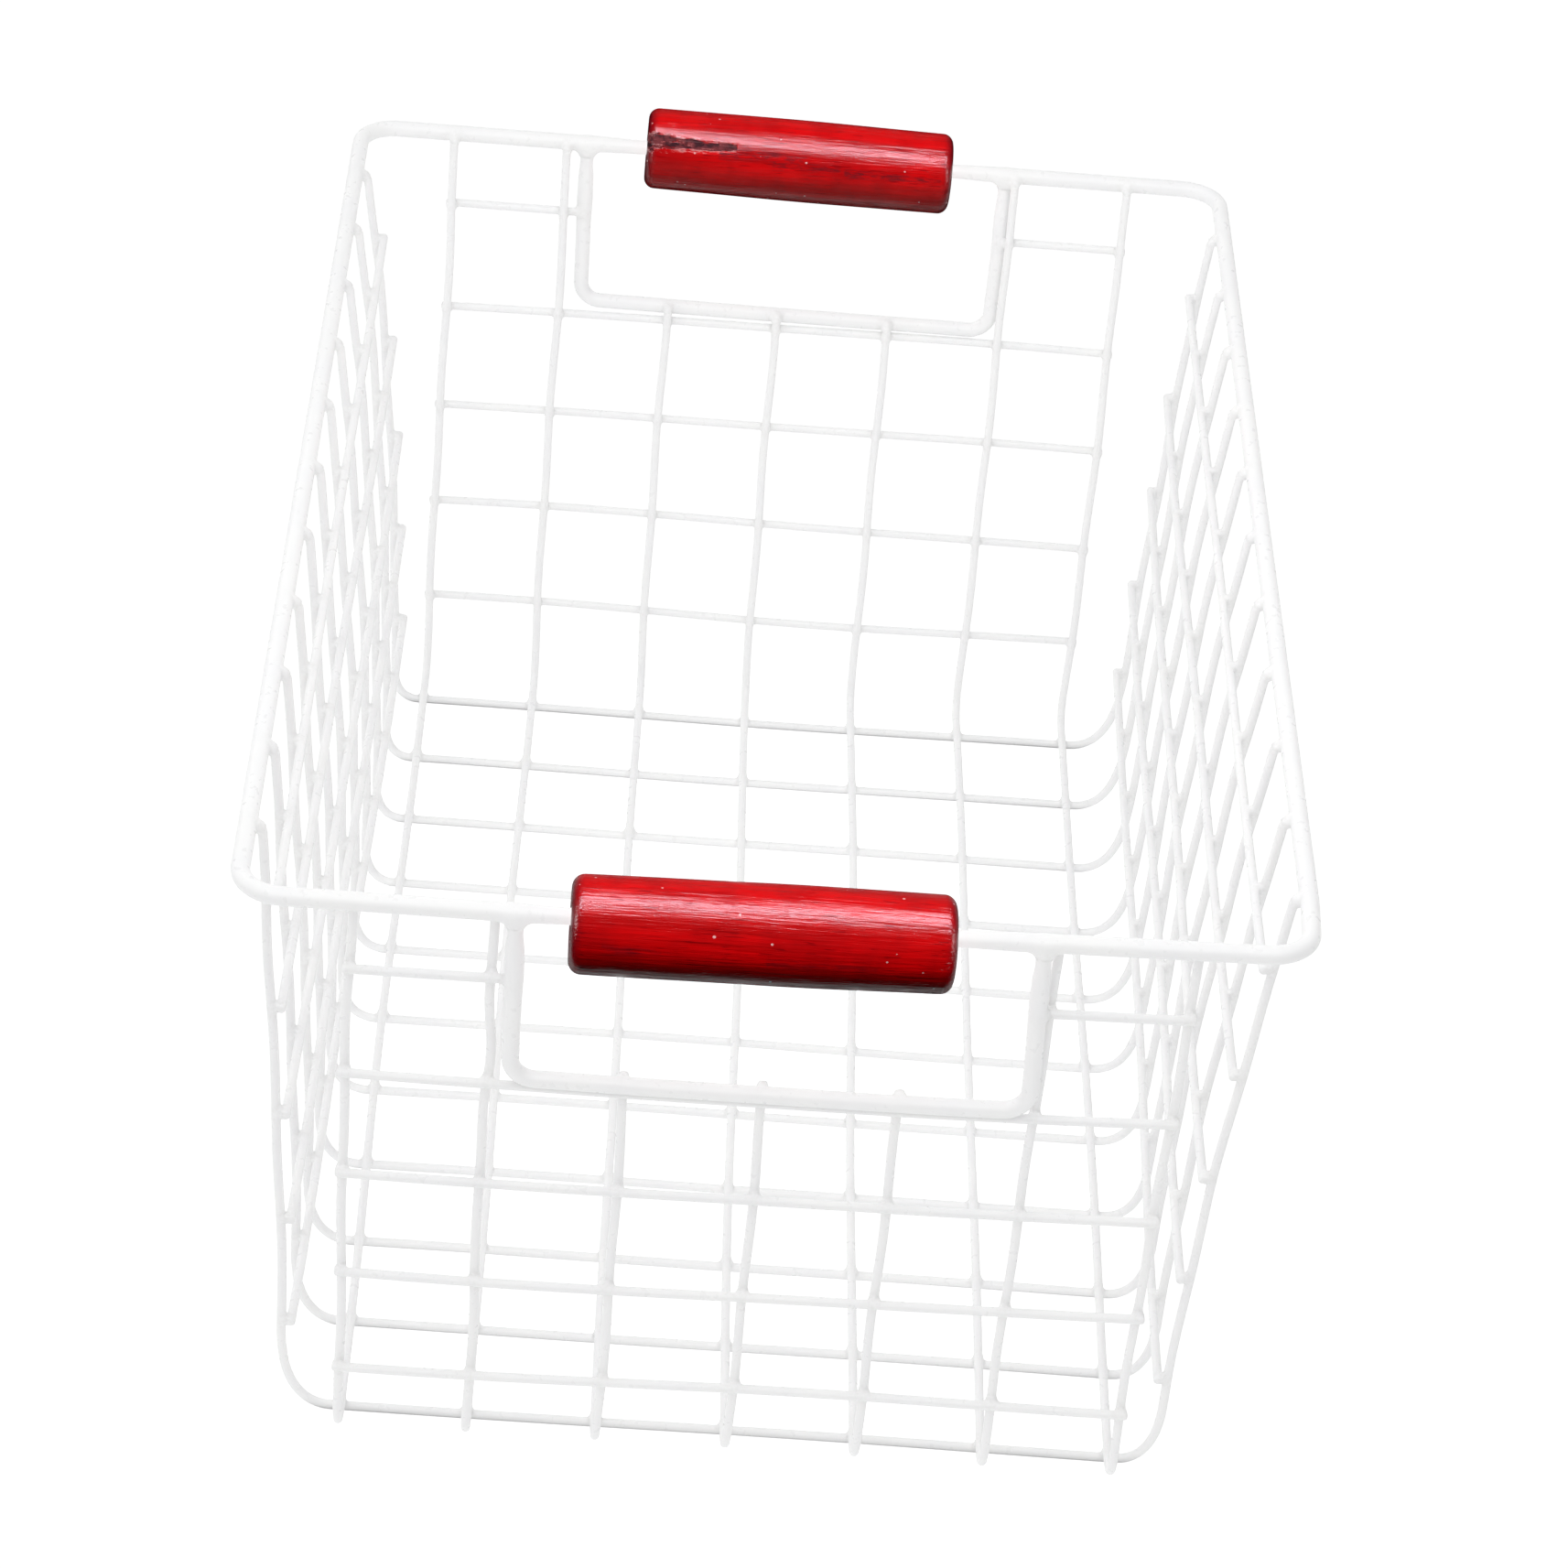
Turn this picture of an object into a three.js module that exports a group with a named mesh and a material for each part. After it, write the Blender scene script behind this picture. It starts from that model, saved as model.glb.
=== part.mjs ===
// Egg collection basket: an open-topped tray of welded mesh wires under a heavy rim wire.
// Each end has a heavy U-shaped bracket welded under the rim, and a wooden grip that turns
// freely on the rim wire between the bracket's legs.
// Millimetres, +Z up, +X to the right, +Y to the rear. The origin is the middle of the
// floor, on the surface that the basket stands on.

import * as THREE from 'three';

// ---- driving dimensions ----
const meshWire = 1.4; // radius of a mesh wire with its coating
const rimWire = 2.7; // radius of the rim wire
const bracketWire = 2.5; // radius of the handle brackets' wire
const weldGap = 0.1; // clearance between two wires that are welded together

const longPitch = 38; // spacing of the lengthwise wires
const longCount = 7;
const crossPitch = 37.2; // spacing of the crosswise wires
const crossCount = 11;
const rowHeights = [186, 147.5, 110, 72, 34]; // wall wires, from the top row down

const rimHalfWidth = 145; // to the rim wire's centre line
const rimHalfLength = 218.5;
const rimHeight = 210.6;
const rimCorner = 12; // centre-line radius of the rim's corners

const floorHalfLength = 199.3; // where the end walls' slope meets the floor
const endBend = 8; // bend radius at the foot of an end wall

// The side walls were bent by hand, so each corner of the tray has its own half width at
// the floor, and its bend has its own reach along the floor and up the wall. The wires
// between the corners run evenly from one to the other.
const sideWalls = {
  left: {
    sign: -1,
    front: { half: 132, inward: 15.5, upward: 31 },
    rear: { half: 124.5, inward: 9, upward: 14 },
  },
  right: {
    sign: 1,
    front: { half: 128.2, inward: 12, upward: 26 },
    rear: { half: 132.3, inward: 16, upward: 31 },
  },
};
const sideCurve = 1.8; // power of height that a side wall leans out by

// The basket's front has been knocked in at its right. The push grows evenly up the wall, and
// along the rim from pushStart to the corner. There it moves the front of the rim in by
// pushDepth and draws the side of the rim in by pushSide.
const pushStart = -30;
const pushDepth = 5.3;
const pushSide = 1.4;

const bracketHalfWidth = 71; // to the centre lines of a bracket's legs
const railTip = 0.5; // a wire that ends on a rail reaches this far above its centre line
const bracketBend = 7;

const gripLength = 103.2;
const gripRadius = 13.8; // at the middle of the grip
const gripTaper = 0.35; // a grip's radius is this much less at its ends
const gripBore = 5.2; // radius of the hole that the rim wire runs loosely through
const gripEdge = 3.5; // radius of the grip's rounded end edges

// Neither end is quite true. A bracket's rail has its middle at bracketX and railHeight. A grip
// has come to rest with its middle at gripX, gripIn inwards from where a true rim would run,
// and gripDrop below the rim's centre line. The angles are in degrees: railTilt and gripTilt
// lift the right end, gripTurn swings it to the rear, and legs lean to the left going up.
const ends = {
  front: {
    end: -1,
    bracketX: 2.5,
    railHeight: 151.5,
    railTilt: 0,
    legLean: 2,
    gripX: -4.4,
    gripIn: 1,
    gripDrop: 2.1,
    gripTilt: 0,
    gripTurn: 1.4,
  },
  rear: {
    end: 1,
    bracketX: 2,
    railHeight: 152.2,
    railTilt: -0.4,
    legLean: 0.2,
    gripX: 2.3,
    gripIn: 0,
    gripDrop: 0.6,
    gripTilt: -0.8,
    gripTurn: 0,
  },
};

const overhang = 2; // a wall wire's end past the last wire that it crosses

// ---- worked out from them ----
const weldStep = 2 * meshWire + weldGap; // between the centres of two crossing mesh wires
const crossFloorZ = meshWire;
const longFloorZ = crossFloorZ + weldStep;
const tipDrop = 1.5; // a wire's tip ends this far below the rim's centre line
const tipInset = Math.sqrt((rimWire + meshWire + weldGap) ** 2 - tipDrop ** 2);
const tipHeight = rimHeight - tipDrop;
const tipHalfWidth = rimHalfWidth - tipInset;
const tipHalfLength = rimHalfLength - tipInset;
const outerLongX = ((longCount - 1) / 2) * longPitch;
const outerCrossY = ((crossCount - 1) / 2) * crossPitch;
const endLean = Math.atan2(tipHalfLength - floorHalfLength, tipHeight - longFloorZ);
const bracketOffset = bracketWire + meshWire + weldGap; // outwards from the end wall's wires

// ---- materials ----
const whiteCoat = new THREE.MeshStandardMaterial({ color: 0xf2f2f0, roughness: 0.4, metalness: 0 });
const redLacquer = new THREE.MeshStandardMaterial({ color: 0xb3060c, roughness: 0.3, metalness: 0 });

// ---- shape helpers ----

// A route through fixed stations, so that a wire has sides only where it bends.
class WireRoute extends THREE.Curve {
  constructor(stations) {
    super();
    this.stations = stations;
  }

  get steps() {
    return this.stations.length - 1;
  }

  getPoint(t) {
    return this.stations[Math.round(t * this.steps)].clone();
  }

  getPointAt(t) {
    return this.getPoint(t);
  }

  getTangentAt(t) {
    const here = Math.round(t * this.steps);
    const direction = (a, b) => this.stations[b].clone().sub(this.stations[a]).normalize();
    const before = direction(Math.max(here - 1, 0), Math.max(here, 1));
    const after = direction(Math.min(here, this.steps - 1), Math.min(here + 1, this.steps));
    return before.add(after).normalize();
  }
}

// The stations of a rounded corner, from its first tangent point to its second.
function bend(from, corner, to, radius, steps) {
  const back = from.clone().sub(corner).normalize();
  const onward = to.clone().sub(corner).normalize();
  const halfAngle = back.angleTo(onward) / 2;
  const middle = back.clone().add(onward).normalize();
  const centre = corner.clone().addScaledVector(middle, radius / Math.sin(halfAngle));
  const turn = Math.PI - 2 * halfAngle;
  const across = onward.clone().sub(back).normalize();
  const stations = [];
  for (let i = 0; i <= steps; i++) {
    const angle = turn * (i / steps - 0.5);
    stations.push(centre.clone()
      .addScaledVector(middle, -radius * Math.cos(angle))
      .addScaledVector(across, radius * Math.sin(angle)));
  }
  return stations;
}

// A regular polygon whose flats lie at the wire's radius.
function wireSection(radius, sides) {
  const reach = radius / Math.cos(Math.PI / sides);
  const points = [];
  for (let i = 0; i < sides; i++) {
    const angle = ((i + 0.5) / sides) * 2 * Math.PI;
    points.push(new THREE.Vector2(reach * Math.cos(angle), reach * Math.sin(angle)));
  }
  return new THREE.Shape(points);
}

function wire(stations, radius, sides) {
  const route = new WireRoute(stations);
  return new THREE.ExtrudeGeometry(wireSection(radius, sides), {
    steps: route.steps,
    extrudePath: route,
    bevelEnabled: false,
  });
}

const meshSides = 8;
const heavySides = 12;
const meshBendSteps = 4;
const heavyBendSteps = 6;

const basket = new THREE.Group();

function add(parent, name, geometry, material) {
  const mesh = new THREE.Mesh(geometry, material);
  mesh.name = name;
  parent.add(mesh);
  return mesh;
}

// ---- rim ----
function rimStations() {
  const at = (x, y) => new THREE.Vector3(x, y, rimHeight);
  const corner = (from, middle, to) => bend(from, middle, to, rimCorner, heavyBendSteps);
  const pushed = at(pushStart, -rimHalfLength);
  const frontRight = at(rimHalfWidth - pushSide, pushDepth - rimHalfLength);
  const drawnIn = at(rimHalfWidth, -outerCrossY);
  const rearRight = at(rimHalfWidth, rimHalfLength);
  const rearLeft = at(-rimHalfWidth, rimHalfLength);
  const frontLeft = at(-rimHalfWidth, -rimHalfLength);
  return [
    pushed,
    ...corner(pushed, frontRight, drawnIn),
    drawnIn,
    ...corner(drawnIn, rearRight, rearLeft),
    ...corner(rearRight, rearLeft, frontLeft),
    ...corner(rearLeft, frontLeft, pushed),
    pushed,
  ];
}

const rimRoute = new WireRoute(rimStations());
const rimSides = 16;
add(basket, 'rim', new THREE.TubeGeometry(rimRoute, rimRoute.steps, rimWire, rimSides, true), whiteCoat);

// ---- lengthwise wires ----

// How far the front wall is pushed in at place x and height z.
function pushedIn(x, z) {
  const share = THREE.MathUtils.inverseLerp(pushStart, rimHalfWidth - pushSide, x);
  const rise = (z - longFloorZ) / (rimHeight - longFloorZ);
  return pushDepth * Math.max(share, 0) * rise;
}

// Height up an end wall, as a distance along its slope from the floor wires' centre line.
const upSlope = (z) => (z - longFloorZ) / Math.cos(endLean);

// A point of the front or rear wall, so far up its slope and outwards from its upright wires.
function endWallPoint(x, end, up, outward) {
  const y = floorHalfLength + up * Math.sin(endLean) + outward * Math.cos(endLean);
  const z = longFloorZ + up * Math.cos(endLean) - outward * Math.sin(endLean);
  const push = end < 0 ? pushedIn(x, z) : 0;
  return new THREE.Vector3(x, end * y + push, z);
}

function longWire(x) {
  const underHandle = Math.abs(x) < bracketHalfWidth;
  const tip = ({ end, railHeight }) => {
    const height = underHandle ? railHeight + railTip : tipHeight;
    return endWallPoint(x, end, upSlope(height), 0);
  };
  const frontTip = tip(ends.front);
  const frontFoot = endWallPoint(x, -1, 0, 0);
  const rearFoot = endWallPoint(x, 1, 0, 0);
  const rearTip = tip(ends.rear);
  const stations = [
    frontTip,
    ...bend(frontTip, frontFoot, rearFoot, endBend, meshBendSteps),
    ...bend(frontFoot, rearFoot, rearTip, endBend, meshBendSteps),
    rearTip,
  ];
  return wire(stations, meshWire, meshSides);
}

for (let i = 0; i < longCount; i++) {
  const x = i * longPitch - outerLongX;
  add(basket, `long_wire_${i + 1}`, longWire(x), whiteCoat);
}

// ---- crosswise wires ----

// A measure of one side at place y, between its front corner and its rear corner.
function along(side, measure, y) {
  const share = THREE.MathUtils.inverseLerp(-outerCrossY, outerCrossY, y);
  return THREE.MathUtils.lerp(side.front[measure], side.rear[measure], share);
}

// Distance of a side wall's wire from the middle, at place y and height z.
function sideWallX(side, y, z) {
  const floorHalf = along(side, 'half', y);
  return floorHalf + (tipHalfWidth - floorHalf) * (z / tipHeight) ** sideCurve;
}

// One leg of a crosswise wire, from its tip at the rim down to the floor.
function crossLeg(side, y) {
  const wallPoint = (z) => new THREE.Vector3(side.sign * sideWallX(side, y, z), y, z);
  const bendTop = wallPoint(crossFloorZ + along(side, 'upward', y));
  const corner = bendTop.clone().setZ(crossFloorZ);
  const bendEnd = corner.clone().setX(corner.x - side.sign * along(side, 'inward', y));
  const foot = new THREE.QuadraticBezierCurve3(bendTop, corner, bendEnd);
  return [...[tipHeight, ...rowHeights].map(wallPoint), ...foot.getPoints(meshBendSteps)];
}

for (let i = 0; i < crossCount; i++) {
  const y = i * crossPitch - outerCrossY;
  const stations = [...crossLeg(sideWalls.left, y), ...crossLeg(sideWalls.right, y).reverse()];
  add(basket, `cross_wire_${i + 1}`, wire(stations, meshWire, meshSides), whiteCoat);
}

// ---- side wall rows, inside the crosswise wires ----
function sideRow(side, z) {
  const rowPoint = (y) => {
    const wall = sideWallX(side, y, z);
    const lean = Math.atan(sideWallX(side, y, z + 1) - wall);
    return new THREE.Vector3(side.sign * (wall - weldStep / Math.cos(lean)), y, z);
  };
  const reach = outerCrossY + overhang;
  return wire([rowPoint(-reach), rowPoint(reach)], meshWire, meshSides);
}

for (const [name, side] of Object.entries(sideWalls)) {
  rowHeights.forEach((z, i) => add(basket, `${name}_row_${i + 1}`, sideRow(side, z), whiteCoat));
}

// ---- end walls: rows and handle bracket, outside the lengthwise wires ----
function endRow(fromX, toX, end, z) {
  const places = [fromX, pushStart, toX].filter((x) => x >= fromX && x <= toX);
  const stations = places.map((x) => endWallPoint(x, end, upSlope(z), weldStep));
  return wire(stations, meshWire, meshSides);
}

const slopeOf = (degrees) => Math.tan(THREE.MathUtils.degToRad(degrees));

// A bracket's leg on the left (side -1) or right (side 1), at a distance up its wall's slope.
function legX({ bracketX, railHeight, legLean }, side, up) {
  return bracketX + side * bracketHalfWidth - (up - upSlope(railHeight)) * slopeOf(legLean);
}

function bracket(place) {
  const { end, bracketX, railHeight, railTilt } = place;
  const rimAlongSlope = (rimHeight - longFloorZ) * Math.cos(endLean)
    + (rimHalfLength - floorHalfLength) * Math.sin(endLean);
  const top = rimAlongSlope - rimWire - weldGap;
  const legTop = (side) => endWallPoint(legX(place, side, top), end, top, bracketOffset);
  const railPoint = (x) => {
    const up = upSlope(railHeight) + (x - bracketX) * slopeOf(railTilt);
    return endWallPoint(x, end, up, bracketOffset);
  };
  const leftCorner = railPoint(bracketX - bracketHalfWidth);
  const pushed = railPoint(pushStart);
  const rightCorner = railPoint(bracketX + bracketHalfWidth);
  const stations = [
    legTop(-1),
    ...bend(legTop(-1), leftCorner, pushed, bracketBend, heavyBendSteps),
    pushed,
    ...bend(pushed, rightCorner, legTop(1), bracketBend, heavyBendSteps),
    legTop(1),
  ];
  return wire(stations, bracketWire, heavySides);
}

const rowReach = outerLongX + overhang;
const legClearance = bracketWire + 2 * weldGap; // row 1 stops this far beside a leg's centre line

for (const [name, place] of Object.entries(ends)) {
  add(basket, `${name}_handle_bracket`, bracket(place), whiteCoat);
  rowHeights.forEach((z, i) => {
    if (i === 0) {
      const leftStop = legX(place, -1, upSlope(z)) - legClearance;
      const rightStop = legX(place, 1, upSlope(z)) + legClearance;
      add(basket, `${name}_row_1_left`, endRow(-rowReach, leftStop, place.end, z), whiteCoat);
      add(basket, `${name}_row_1_right`, endRow(rightStop, rowReach, place.end, z), whiteCoat);
    } else {
      add(basket, `${name}_row_${i + 1}`, endRow(-rowReach, rowReach, place.end, z), whiteCoat);
    }
  });
}

// ---- grips ----

// Radius of a grip's slightly barrelled outside, at a distance along it from its middle.
const gripRadiusAt = (along) => gripRadius - gripTaper * (along / (gripLength / 2)) ** 2;

function grip() {
  const half = gripLength / 2;
  const straight = half - gripEdge;
  const endRadius = gripRadiusAt(straight);
  const edgeSteps = 4;
  const barrelSteps = 4;
  const edgePoint = (end, i) => {
    const angle = (i * Math.PI) / (2 * edgeSteps);
    return new THREE.Vector2(
      endRadius - gripEdge + gripEdge * Math.cos(angle),
      end * (straight + gripEdge * Math.sin(angle)),
    );
  };
  const profile = [new THREE.Vector2(gripBore, -half)];
  for (let i = edgeSteps; i >= 0; i--) {
    profile.push(edgePoint(-1, i));
  }
  for (let i = 1; i < barrelSteps; i++) {
    const along = straight * ((2 * i) / barrelSteps - 1);
    profile.push(new THREE.Vector2(gripRadiusAt(along), along));
  }
  for (let i = 0; i <= edgeSteps; i++) {
    profile.push(edgePoint(1, i));
  }
  profile.push(new THREE.Vector2(gripBore, half));
  profile.push(profile[0]);
  const gripSides = 32;
  return new THREE.LatheGeometry(profile, gripSides);
}

for (const [name, place] of Object.entries(ends)) {
  const turned = add(basket, `${name}_grip`, grip(), redLacquer);
  const direction = new THREE.Vector3(1, slopeOf(place.gripTurn), slopeOf(place.gripTilt));
  turned.quaternion.setFromUnitVectors(new THREE.Vector3(0, 1, 0), direction.normalize());
  const y = place.end * (rimHalfLength - place.gripIn);
  turned.position.set(place.gripX, y, rimHeight - place.gripDrop);
}

export default basket;
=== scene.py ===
"""Egg collection basket: dip-coated welded wire with two red lacquered wooden grips.

Shapes are worked out in millimetres, in the CAD frame, and written to meshes in metres.
Every coated wire is one piece that stands for the CAD node of the same wire. Its surface is
pushed out to a smooth union with the wires that it is welded to, so each crossing has its
small weld and the fillet of coating round it.
"""

import math
import random

import bpy
import numpy as np
from mathutils import Matrix
from mathutils.kdtree import KDTree


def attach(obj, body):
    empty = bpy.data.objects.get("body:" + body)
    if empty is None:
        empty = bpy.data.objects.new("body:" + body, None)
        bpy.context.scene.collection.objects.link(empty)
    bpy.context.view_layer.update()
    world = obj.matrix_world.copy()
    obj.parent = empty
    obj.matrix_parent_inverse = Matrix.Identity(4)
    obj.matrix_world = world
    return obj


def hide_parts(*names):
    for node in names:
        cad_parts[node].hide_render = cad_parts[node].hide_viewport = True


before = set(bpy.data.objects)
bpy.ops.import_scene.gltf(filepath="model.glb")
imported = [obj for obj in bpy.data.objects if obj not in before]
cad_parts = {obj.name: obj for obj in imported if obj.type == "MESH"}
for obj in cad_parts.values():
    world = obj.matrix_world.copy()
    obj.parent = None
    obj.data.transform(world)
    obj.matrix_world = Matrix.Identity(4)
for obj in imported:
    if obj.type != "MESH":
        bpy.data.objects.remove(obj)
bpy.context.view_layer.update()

MM = 0.001
chance = random.Random(20)

# ---- basket dimensions, in millimetres, as in the CAD model; wires are given by radius ----
MESH_WIRE = 1.4
RIM_WIRE = 2.7
BRACKET_WIRE = 2.5
WELD_GAP = 0.1
LONG_PITCH = 38
LONG_COUNT = 7
CROSS_PITCH = 37.2
CROSS_COUNT = 11
ROW_HEIGHTS = (186, 147.5, 110, 72, 34)
RIM_HALF_WIDTH = 145
RIM_HALF_LENGTH = 218.5
RIM_HEIGHT = 210.6
RIM_CORNER = 12
FLOOR_HALF_LENGTH = 199.3
END_BEND = 8
SIDE_WALLS = {
    "left": {"sign": -1, "half": (132, 124.5), "inward": (15.5, 9), "upward": (31, 14)},
    "right": {"sign": 1, "half": (128.2, 132.3), "inward": (12, 16), "upward": (26, 31)},
}
SIDE_CURVE = 1.8
PUSH_START = -30  # the front is knocked in at its right, from here to the corner
PUSH_DEPTH = 5.3
PUSH_SIDE = 1.4
PUSH_EASE = 8  # the push sets in softly over about this length
KNOCKED_WIRE = 1  # the second lengthwise wire's front upright is bent sideways
KNOCK_SIDEWAYS = 2
KNOCK_HEIGHT = 157
KNOCK_SPREAD = 14
BRACKET_HALF_WIDTH = 71
BRACKET_BEND = 7
LEG_DROP = 2  # a leg's centre line ends this far below the rim's, inside the rim's wire
RAIL_TIP = 0.5
STUB_REACH = 0.6  # the top row's stubs end this far short of the legs' centre lines
OVERHANG = 2
TIP_DROP = 1.5

GRIP_LENGTH = 103.2
GRIP_RADIUS = 13.8
GRIP_TAPER = 0.35
GRIP_BORE = 5.2
GRIP_EDGE = 3.5

ENDS = {
    "front": {
        "end": -1,
        "bracket_x": 2.5,
        "rail_height": 151.5,
        "rail_tilt": 0,
        "leg_lean": 2,
        "grip_x": -4.4,
        "grip_in": 1,
        "grip_drop": 2.1,
        "grip_tilt": 0,
        "grip_turn": 1.4,
    },
    "rear": {
        "end": 1,
        "bracket_x": 2,
        "rail_height": 152.2,
        "rail_tilt": -0.4,
        "leg_lean": 0.2,
        "grip_x": 2.3,
        "grip_in": 0,
        "grip_drop": 0.6,
        "grip_tilt": -0.8,
        "grip_turn": 0,
    },
}

# ---- worked out from them ----
WELD_STEP = 2 * MESH_WIRE + WELD_GAP
CROSS_FLOOR_Z = MESH_WIRE
LONG_FLOOR_Z = CROSS_FLOOR_Z + WELD_STEP
TIP_INSET = math.sqrt((RIM_WIRE + MESH_WIRE + WELD_GAP) ** 2 - TIP_DROP**2)
TIP_HEIGHT = RIM_HEIGHT - TIP_DROP
TIP_HALF_WIDTH = RIM_HALF_WIDTH - TIP_INSET
TIP_HALF_LENGTH = RIM_HALF_LENGTH - TIP_INSET
OUTER_LONG_X = (LONG_COUNT - 1) / 2 * LONG_PITCH
OUTER_CROSS_Y = (CROSS_COUNT - 1) / 2 * CROSS_PITCH
END_LEAN = math.atan2(TIP_HALF_LENGTH - FLOOR_HALF_LENGTH, TIP_HEIGHT - LONG_FLOOR_Z)
BRACKET_OFFSET = BRACKET_WIRE + MESH_WIRE + WELD_GAP
ACROSS, AHEAD, UP = np.eye(3)

# ---- centre lines ----
FINE = 0.5  # spacing of the points of a centre line
ARC_STEPS = 14
ROW_STEP = 4  # spacing of the points of an end wall's horizontals
LEG_POINTS = 40
SIDE_ROW_POINTS = 12


def unit(vector):
    return vector / np.linalg.norm(vector)


def bend(before, corner, after, radius):
    """Points of a rounded corner, from its first tangent point to its second."""
    before, corner, after = (np.array(p, float) for p in (before, corner, after))
    back = unit(before - corner)
    onward = unit(after - corner)
    half_angle = math.acos(np.dot(back, onward)) / 2
    middle = unit(back + onward)
    sideways = unit(onward - back)
    centre = corner + middle * radius / math.sin(half_angle)
    turn = math.pi - 2 * half_angle
    angles = np.linspace(-turn / 2, turn / 2, ARC_STEPS + 1)
    return [centre + radius * (sideways * math.sin(a) - middle * math.cos(a)) for a in angles]


def dense(points):
    """The same line with a point every half millimetre."""
    points = np.array(points, float)
    lengths = np.linalg.norm(np.diff(points, axis=0), axis=1)
    reach = np.concatenate([[0], np.cumsum(lengths)])
    at = np.linspace(0, reach[-1], max(2, round(reach[-1] / FINE) + 1))
    return np.column_stack([np.interp(at, reach, points[:, k]) for k in range(3)])


def up_slope(z):
    """Height up an end wall, as a distance along its slope."""
    return (z - LONG_FLOOR_Z) / math.cos(END_LEAN)


def pushed_in(x, z):
    """How far the front wall is knocked in at place x and height z."""
    past = x - PUSH_START
    eased = (past + np.hypot(past, PUSH_EASE)) / 2
    rise = (z - LONG_FLOOR_Z) / (RIM_HEIGHT - LONG_FLOOR_Z)
    return PUSH_DEPTH * eased / (RIM_HALF_WIDTH - PUSH_SIDE - PUSH_START) * rise


def end_wall(x, end, up, outward=0):
    """A point on the front (end -1) or rear (end 1) wall, or outside it."""
    y = FLOOR_HALF_LENGTH + up * math.sin(END_LEAN) + outward * math.cos(END_LEAN)
    z = LONG_FLOOR_Z + up * math.cos(END_LEAN) - outward * math.sin(END_LEAN)
    push = pushed_in(x, z) if end < 0 else 0
    return (x, end * y + push, z)


def wall_run(from_point, to_point, end, outward):
    """Points of a wire that runs along an end wall between two (x, up) places."""
    count = round(math.dist(from_point, to_point) / ROW_STEP) + 2
    places = np.linspace(from_point, to_point, count)
    return [end_wall(x, end, up, outward) for x, up in places]


def along(side, measure, y):
    """A side wall's measure at place y, even from its front corner to its rear corner."""
    return float(np.interp(y, (-OUTER_CROSS_Y, OUTER_CROSS_Y), side[measure]))


def side_wall_x(side, y, z):
    floor_half = along(side, "half", y)
    return floor_half + (TIP_HALF_WIDTH - floor_half) * (z / TIP_HEIGHT) ** SIDE_CURVE


def rim_line():
    x, y = RIM_HALF_WIDTH, RIM_HALF_LENGTH
    corners = [(x, -y, RIM_HEIGHT), (x, y, RIM_HEIGHT), (-x, y, RIM_HEIGHT), (-x, -y, RIM_HEIGHT)]
    start = (0, -y, RIM_HEIGHT)
    points = [start]
    for i, corner in enumerate(corners):
        before = corners[i - 1] if i else start
        after = corners[i + 1] if i < 3 else start
        points += bend(before, corner, after, RIM_CORNER)
    points = dense(points + [start])
    to_front = (-OUTER_CROSS_Y - points[:, 1]) / (RIM_HALF_LENGTH - OUTER_CROSS_Y)
    to_front = np.clip(to_front, 0, 1)
    to_corner = (points[:, 0] - RIM_HALF_WIDTH) / (2 * RIM_CORNER) + 1
    points[:, 1] += to_front * pushed_in(points[:, 0], RIM_HEIGHT)
    points[:, 0] -= to_front**1.5 * PUSH_SIDE * np.clip(to_corner, 0, 1)
    return points


def long_line(x):
    def tip(place):
        under_handle = abs(x) < BRACKET_HALF_WIDTH
        height = place["rail_height"] + RAIL_TIP if under_handle else TIP_HEIGHT
        return end_wall(x, place["end"], up_slope(height))

    front_tip, rear_tip = tip(ENDS["front"]), tip(ENDS["rear"])
    front_foot, rear_foot = (end_wall(x, end, 0) for end in (-1, 1))
    return [
        front_tip,
        *bend(front_tip, front_foot, rear_foot, END_BEND),
        *bend(front_foot, rear_foot, rear_tip, END_BEND),
        rear_tip,
    ]


def knocked_sideways(points, by, height, spread):
    """The line with its front upright bent sideways around a height."""
    points = dense(points)
    share = np.exp(-(((points[:, 2] - height) / spread) ** 2))
    points[:, 0] += by * share * (points[:, 1] < 0)
    return points


def cross_leg(side, y):
    """One leg of a crosswise wire, from the rim down and round onto the floor."""
    sign = side["sign"]
    bend_top = CROSS_FLOOR_Z + along(side, "upward", y)
    heights = np.linspace(TIP_HEIGHT, bend_top, LEG_POINTS)
    leg = [(sign * side_wall_x(side, y, z), y, z) for z in heights]
    start = np.array(leg[-1])
    corner = np.array([start[0], y, CROSS_FLOOR_Z])
    finish = corner - (sign * along(side, "inward", y), 0, 0)
    for t in np.linspace(0, 1, ARC_STEPS)[1:]:
        leg.append((1 - t) ** 2 * start + 2 * t * (1 - t) * corner + t**2 * finish)
    return leg


def side_row_line(side, z):
    def row_point(y):
        wall = side_wall_x(side, y, z)
        lean = math.atan(side_wall_x(side, y, z + 1) - wall)
        return (side["sign"] * (wall - WELD_STEP / math.cos(lean)), y, z)

    reach = OUTER_CROSS_Y + OVERHANG
    return [row_point(y) for y in np.linspace(-reach, reach, SIDE_ROW_POINTS)]


def slope_of(degrees):
    return math.tan(math.radians(degrees))


def leg_x(place, side, up):
    """A bracket's leg on the left (side -1) or right (side 1), so far up its wall."""
    rise = up - up_slope(place["rail_height"])
    return place["bracket_x"] + side * BRACKET_HALF_WIDTH - rise * slope_of(place["leg_lean"])


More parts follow.
